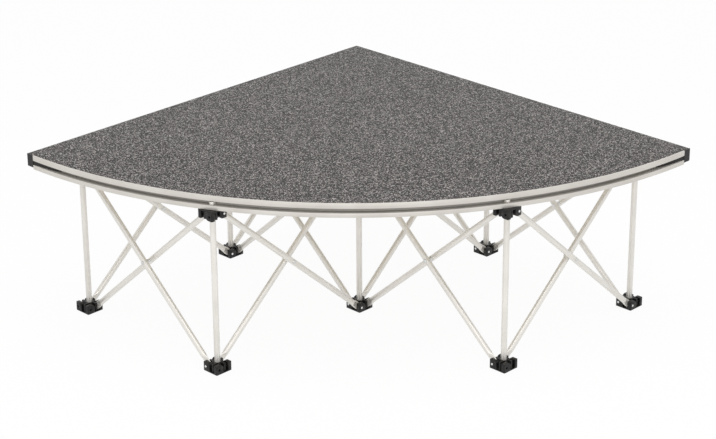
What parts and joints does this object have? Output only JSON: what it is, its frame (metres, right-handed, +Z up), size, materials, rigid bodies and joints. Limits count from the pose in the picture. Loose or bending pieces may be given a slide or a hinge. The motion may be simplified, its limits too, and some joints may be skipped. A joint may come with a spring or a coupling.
{
  "type": "quadrant stage deck",
  "caption": "Quarter-round carpeted stage deck with a grooved aluminium edge rail, resting on a folding scissor riser of posts, crossed bars and moulded hubs.",
  "frame": {"origin": "on the floor, under the middle of the deck's square outline", "axes": "+Z up; the square corner is at (-X, +Y), its straight edges face -X and +Y, and the arc bulges toward +X and -Y"},
  "size_m": [1, 1, 0.4],
  "materials": {
    "aluminium": "satin",
    "black_plastic": "moulded",
    "carpet": "short grey mottled pile",
    "plywood": "sealed"
  },
  "bodies": {
    "foot_centre": {"foot_hub_centre": "black_plastic"},
    "bar_centre_to_front_left": {"brace_centre_to_front_left": "aluminium"},
    "bar_front_left_to_centre": {"brace_front_left_to_centre": "aluminium"},
    "head_front_left": {"head_hub_front_left": "black_plastic", "post_front_left": "aluminium"},
    "foot_front_left": {"foot_hub_front_left": "black_plastic"},
    "head_centre": {"head_hub_centre": "black_plastic", "post_centre": "aluminium"},
    "bar_centre_to_front_right": {"brace_centre_to_front_right": "aluminium"},
    "bar_front_right_to_centre": {"brace_front_right_to_centre": "aluminium"},
    "head_front_right": {"head_hub_front_right": "black_plastic", "post_front_right": "aluminium"},
    "foot_front_right": {"foot_hub_front_right": "black_plastic"},
    "bar_centre_to_left_inner": {"brace_centre_to_left_inner": "aluminium"},
    "bar_left_inner_to_centre": {"brace_left_inner_to_centre": "aluminium"},
    "head_left_inner": {"head_hub_left_inner": "black_plastic", "post_left_inner": "aluminium"},
    "foot_left_inner": {"foot_hub_left_inner": "black_plastic"},
    "bar_centre_to_right_inner": {"brace_centre_to_right_inner": "aluminium"},
    "bar_right_inner_to_centre": {"brace_right_inner_to_centre": "aluminium"},
    "head_right_inner": {"head_hub_right_inner": "black_plastic", "post_right_inner": "aluminium"},
    "foot_right_inner": {"foot_hub_right_inner": "black_plastic"},
    "bar_left_inner_to_left_outer": {"brace_left_inner_to_left_outer": "aluminium"},
    "bar_left_outer_to_left_inner": {"brace_left_outer_to_left_inner": "aluminium"},
    "head_left_outer": {"head_hub_left_outer": "black_plastic", "post_left_outer": "aluminium"},
    "foot_left_outer": {"foot_hub_left_outer": "black_plastic"},
    "bar_left_inner_to_apex": {"brace_left_inner_to_apex": "aluminium"},
    "bar_apex_to_left_inner": {"brace_apex_to_left_inner": "aluminium"},
    "head_apex": {"head_hub_apex": "black_plastic", "post_apex": "aluminium"},
    "foot_apex": {"foot_hub_apex": "black_plastic"},
    "bar_right_inner_to_right_outer": {"brace_right_inner_to_right_outer": "aluminium"},
    "bar_right_outer_to_right_inner": {"brace_right_outer_to_right_inner": "aluminium"},
    "head_right_outer": {"head_hub_right_outer": "black_plastic", "post_right_outer": "aluminium"},
    "foot_right_outer": {"foot_hub_right_outer": "black_plastic"},
    "bar_front_left_to_left_outer": {"brace_front_left_to_left_outer": "aluminium"},
    "bar_left_outer_to_front_left": {"brace_left_outer_to_front_left": "aluminium"},
    "bar_front_right_to_right_outer": {"brace_front_right_to_right_outer": "aluminium"},
    "bar_right_outer_to_front_right": {"brace_right_outer_to_front_right": "aluminium"},
    "bar_right_inner_to_apex": {"brace_right_inner_to_apex": "aluminium"},
    "bar_apex_to_right_inner": {"brace_apex_to_right_inner": "aluminium"},
    "deck": {"deck_panel": "plywood", "deck_carpet": "carpet", "rail_arc": "aluminium", "rail_left": "aluminium", "rail_right": "aluminium", "cap_left": "black_plastic", "cap_right": "black_plastic", "cap_apex": "black_plastic", "support_pad": "black_plastic"}
  },
  "joints": [
    {"name": "riser_fold", "type": "hinge", "parent": "foot_centre", "child": "bar_centre_to_front_left", "pos_m": [-0.03749, 0.03299, 0.0105], "axis": [-1, 0, 0], "range_deg": [0, 47]},
    {"name": "middle_rivet_centre_front_left", "type": "hinge", "parent": "bar_centre_to_front_left", "child": "bar_front_left_to_centre", "pos_m": [-0.04699, -0.16552, 0.18435], "axis": [-1, 0, 0], "range_deg": [-94, 0]},
    {"name": "head_pin_front_left", "type": "hinge", "parent": "bar_centre_to_front_left", "child": "head_front_left", "pos_m": [-0.03749, -0.36402, 0.3582], "axis": [-1, 0, 0], "range_deg": [-47, 0]},
    {"name": "foot_pin_front_left", "type": "hinge", "parent": "bar_front_left_to_centre", "child": "foot_front_left", "pos_m": [-0.05649, -0.36402, 0.0105], "axis": [-1, 0, 0], "range_deg": [0, 47]},
    {"name": "head_pin_centre", "type": "hinge", "parent": "bar_front_left_to_centre", "child": "head_centre", "pos_m": [-0.05649, 0.03299, 0.3582], "axis": [-1, 0, 0], "range_deg": [0, 47]},
    {"name": "foot_pin_centre_to_front_right", "type": "hinge", "parent": "foot_centre", "child": "bar_centre_to_front_right", "pos_m": [-0.03299, 0.05649, 0.0105], "axis": [0, -1, 0], "range_deg": [0, 47]},
    {"name": "middle_rivet_centre_front_right", "type": "hinge", "parent": "bar_centre_to_front_right", "child": "bar_front_right_to_centre", "pos_m": [0.16552, 0.04699, 0.18435], "axis": [0, -1, 0], "range_deg": [-94, 0]},
    {"name": "head_pin_front_right", "type": "hinge", "parent": "bar_centre_to_front_right", "child": "head_front_right", "pos_m": [0.36402, 0.05649, 0.3582], "axis": [0, -1, 0], "range_deg": [-47, 0]},
    {"name": "foot_pin_front_right", "type": "hinge", "parent": "bar_front_right_to_centre", "child": "foot_front_right", "pos_m": [0.36402, 0.03749, 0.0105], "axis": [0, -1, 0], "range_deg": [0, 47]},
    {"name": "foot_pin_centre_to_left_inner", "type": "hinge", "parent": "foot_centre", "child": "bar_centre_to_left_inner", "pos_m": [-0.06099, 0.03749, 0.0105], "axis": [0, 1, 0], "range_deg": [0, 47]},
    {"name": "middle_rivet_centre_left_inner", "type": "hinge", "parent": "bar_centre_to_left_inner", "child": "bar_left_inner_to_centre", "pos_m": [-0.25949, 0.04699, 0.18435], "axis": [0, 1, 0], "range_deg": [-94, 0]},
    {"name": "head_pin_left_inner", "type": "hinge", "parent": "bar_centre_to_left_inner", "child": "head_left_inner", "pos_m": [-0.458, 0.03749, 0.3582], "axis": [0, 1, 0], "range_deg": [-47, 0]},
    {"name": "foot_pin_left_inner", "type": "hinge", "parent": "bar_left_inner_to_centre", "child": "foot_left_inner", "pos_m": [-0.458, 0.05649, 0.0105], "axis": [0, 1, 0], "range_deg": [0, 47]},
    {"name": "foot_pin_centre_to_right_inner", "type": "hinge", "parent": "foot_centre", "child": "bar_centre_to_right_inner", "pos_m": [-0.05649, 0.06099, 0.0105], "axis": [1, 0, 0], "range_deg": [0, 47]},
    {"name": "middle_rivet_centre_right_inner", "type": "hinge", "parent": "bar_centre_to_right_inner", "child": "bar_right_inner_to_centre", "pos_m": [-0.04699, 0.25949, 0.18435], "axis": [1, 0, 0], "range_deg": [-94, 0]},
    {"name": "head_pin_right_inner", "type": "hinge", "parent": "bar_centre_to_right_inner", "child": "head_right_inner", "pos_m": [-0.05649, 0.458, 0.3582], "axis": [1, 0, 0], "range_deg": [-47, 0]},
    {"name": "foot_pin_right_inner", "type": "hinge", "parent": "bar_right_inner_to_centre", "child": "foot_right_inner", "pos_m": [-0.03749, 0.458, 0.0105], "axis": [1, 0, 0], "range_deg": [0, 47]},
    {"name": "foot_pin_left_inner_to_left_outer", "type": "hinge", "parent": "foot_left_inner", "child": "bar_left_inner_to_left_outer", "pos_m": [-0.4625, 0.03299, 0.0105], "axis": [-1, 0, 0], "range_deg": [0, 47]},
    {"name": "middle_rivet_left_inner_left_outer", "type": "hinge", "parent": "bar_left_inner_to_left_outer", "child": "bar_left_outer_to_left_inner", "pos_m": [-0.472, -0.16552, 0.18435], "axis": [-1, 0, 0], "range_deg": [-94, 0]},
    {"name": "head_pin_left_outer", "type": "hinge", "parent": "bar_left_inner_to_left_outer", "child": "head_left_outer", "pos_m": [-0.4625, -0.36402, 0.3582], "axis": [-1, 0, 0], "range_deg": [-47, 0]},
    {"name": "foot_pin_left_outer", "type": "hinge", "parent": "bar_left_outer_to_left_inner", "child": "foot_left_outer", "pos_m": [-0.4815, -0.36402, 0.0105], "axis": [-1, 0, 0], "range_deg": [0, 47]},
    {"name": "foot_pin_left_inner_to_apex", "type": "hinge", "parent": "foot_left_inner", "child": "bar_left_inner_to_apex", "pos_m": [-0.4815, 0.06099, 0.0105], "axis": [1, 0, 0], "range_deg": [0, 47]},
    {"name": "middle_rivet_left_inner_apex", "type": "hinge", "parent": "bar_left_inner_to_apex", "child": "bar_apex_to_left_inner", "pos_m": [-0.472, 0.25949, 0.18435], "axis": [1, 0, 0], "range_deg": [-94, 0]},
    {"name": "head_pin_apex", "type": "hinge", "parent": "bar_left_inner_to_apex", "child": "head_apex", "pos_m": [-0.4815, 0.458, 0.3582], "axis": [1, 0, 0], "range_deg": [-47, 0]},
    {"name": "foot_pin_apex", "type": "hinge", "parent": "bar_apex_to_left_inner", "child": "foot_apex", "pos_m": [-0.4625, 0.458, 0.0105], "axis": [1, 0, 0], "range_deg": [0, 47]},
    {"name": "foot_pin_right_inner_to_right_outer", "type": "hinge", "parent": "foot_right_inner", "child": "bar_right_inner_to_right_outer", "pos_m": [-0.03299, 0.4815, 0.0105], "axis": [0, -1, 0], "range_deg": [0, 47]},
    {"name": "middle_rivet_right_inner_right_outer", "type": "hinge", "parent": "bar_right_inner_to_right_outer", "child": "bar_right_outer_to_right_inner", "pos_m": [0.16552, 0.472, 0.18435], "axis": [0, -1, 0], "range_deg": [-94, 0]},
    {"name": "head_pin_right_outer", "type": "hinge", "parent": "bar_right_inner_to_right_outer", "child": "head_right_outer", "pos_m": [0.36402, 0.4815, 0.3582], "axis": [0, -1, 0], "range_deg": [-47, 0]},
    {"name": "foot_pin_right_outer", "type": "hinge", "parent": "bar_right_outer_to_right_inner", "child": "foot_right_outer", "pos_m": [0.36402, 0.4625, 0.0105], "axis": [0, -1, 0], "range_deg": [0, 47]},
    {"name": "foot_pin_front_left_to_left_outer", "type": "hinge", "parent": "foot_front_left", "child": "bar_front_left_to_left_outer", "pos_m": [-0.06099, -0.38752, 0.0105], "axis": [0, 1, 0], "range_deg": [0, 47]},
    {"name": "middle_rivet_front_left_left_outer", "type": "hinge", "parent": "bar_front_left_to_left_outer", "child": "bar_left_outer_to_front_left", "pos_m": [-0.25949, -0.37802, 0.18435], "axis": [0, 1, 0], "range_deg": [-94, 0]},
    {"name": "foot_pin_front_right_to_right_outer", "type": "hinge", "parent": "foot_front_right", "child": "bar_front_right_to_right_outer", "pos_m": [0.36852, 0.06099, 0.0105], "axis": [1, 0, 0], "range_deg": [0, 47]},
    {"name": "middle_rivet_front_right_right_outer", "type": "hinge", "parent": "bar_front_right_to_right_outer", "child": "bar_right_outer_to_front_right", "pos_m": [0.37802, 0.25949, 0.18435], "axis": [1, 0, 0], "range_deg": [-94, 0]},
    {"name": "foot_pin_right_inner_to_apex", "type": "hinge", "parent": "foot_right_inner", "child": "bar_right_inner_to_apex", "pos_m": [-0.06099, 0.4625, 0.0105], "axis": [0, 1, 0], "range_deg": [0, 47]},
    {"name": "middle_rivet_right_inner_apex", "type": "hinge", "parent": "bar_right_inner_to_apex", "child": "bar_apex_to_right_inner", "pos_m": [-0.25949, 0.472, 0.18435], "axis": [0, 1, 0], "range_deg": [-94, 0]},
    {"name": "deck_lift", "type": "slide", "parent": "head_centre", "child": "deck", "axis": [0, 0, 1], "range_m": [0, 0.15]}
  ],
  "couplings": [
    {"joint": "middle_rivet_centre_front_left", "follows": "riser_fold", "ratio": -2},
    {"joint": "head_pin_front_left", "follows": "riser_fold", "ratio": -1},
    {"joint": "foot_pin_front_left", "follows": "riser_fold", "ratio": 1},
    {"joint": "head_pin_centre", "follows": "riser_fold", "ratio": 1},
    {"joint": "foot_pin_centre_to_front_right", "follows": "riser_fold", "ratio": 1},
    {"joint": "middle_rivet_centre_front_right", "follows": "riser_fold", "ratio": -2},
    {"joint": "head_pin_front_right", "follows": "riser_fold", "ratio": -1},
    {"joint": "foot_pin_front_right", "follows": "riser_fold", "ratio": 1},
    {"joint": "foot_pin_centre_to_left_inner", "follows": "riser_fold", "ratio": 1},
    {"joint": "middle_rivet_centre_left_inner", "follows": "riser_fold", "ratio": -2},
    {"joint": "head_pin_left_inner", "follows": "riser_fold", "ratio": -1},
    {"joint": "foot_pin_left_inner", "follows": "riser_fold", "ratio": 1},
    {"joint": "foot_pin_centre_to_right_inner", "follows": "riser_fold", "ratio": 1},
    {"joint": "middle_rivet_centre_right_inner", "follows": "riser_fold", "ratio": -2},
    {"joint": "head_pin_right_inner", "follows": "riser_fold", "ratio": -1},
    {"joint": "foot_pin_right_inner", "follows": "riser_fold", "ratio": 1},
    {"joint": "foot_pin_left_inner_to_left_outer", "follows": "riser_fold", "ratio": 1},
    {"joint": "middle_rivet_left_inner_left_outer", "follows": "riser_fold", "ratio": -2},
    {"joint": "head_pin_left_outer", "follows": "riser_fold", "ratio": -1},
    {"joint": "foot_pin_left_outer", "follows": "riser_fold", "ratio": 1},
    {"joint": "foot_pin_left_inner_to_apex", "follows": "riser_fold", "ratio": 1},
    {"joint": "middle_rivet_left_inner_apex", "follows": "riser_fold", "ratio": -2},
    {"joint": "head_pin_apex", "follows": "riser_fold", "ratio": -1},
    {"joint": "foot_pin_apex", "follows": "riser_fold", "ratio": 1},
    {"joint": "foot_pin_right_inner_to_right_outer", "follows": "riser_fold", "ratio": 1},
    {"joint": "middle_rivet_right_inner_right_outer", "follows": "riser_fold", "ratio": -2},
    {"joint": "head_pin_right_outer", "follows": "riser_fold", "ratio": -1},
    {"joint": "foot_pin_right_outer", "follows": "riser_fold", "ratio": 1},
    {"joint": "foot_pin_front_left_to_left_outer", "follows": "riser_fold", "ratio": 1},
    {"joint": "middle_rivet_front_left_left_outer", "follows": "riser_fold", "ratio": -2},
    {"joint": "foot_pin_front_right_to_right_outer", "follows": "riser_fold", "ratio": 1},
    {"joint": "middle_rivet_front_right_right_outer", "follows": "riser_fold", "ratio": -2},
    {"joint": "foot_pin_right_inner_to_apex", "follows": "riser_fold", "ratio": 1},
    {"joint": "middle_rivet_right_inner_apex", "follows": "riser_fold", "ratio": -2}
  ]
}
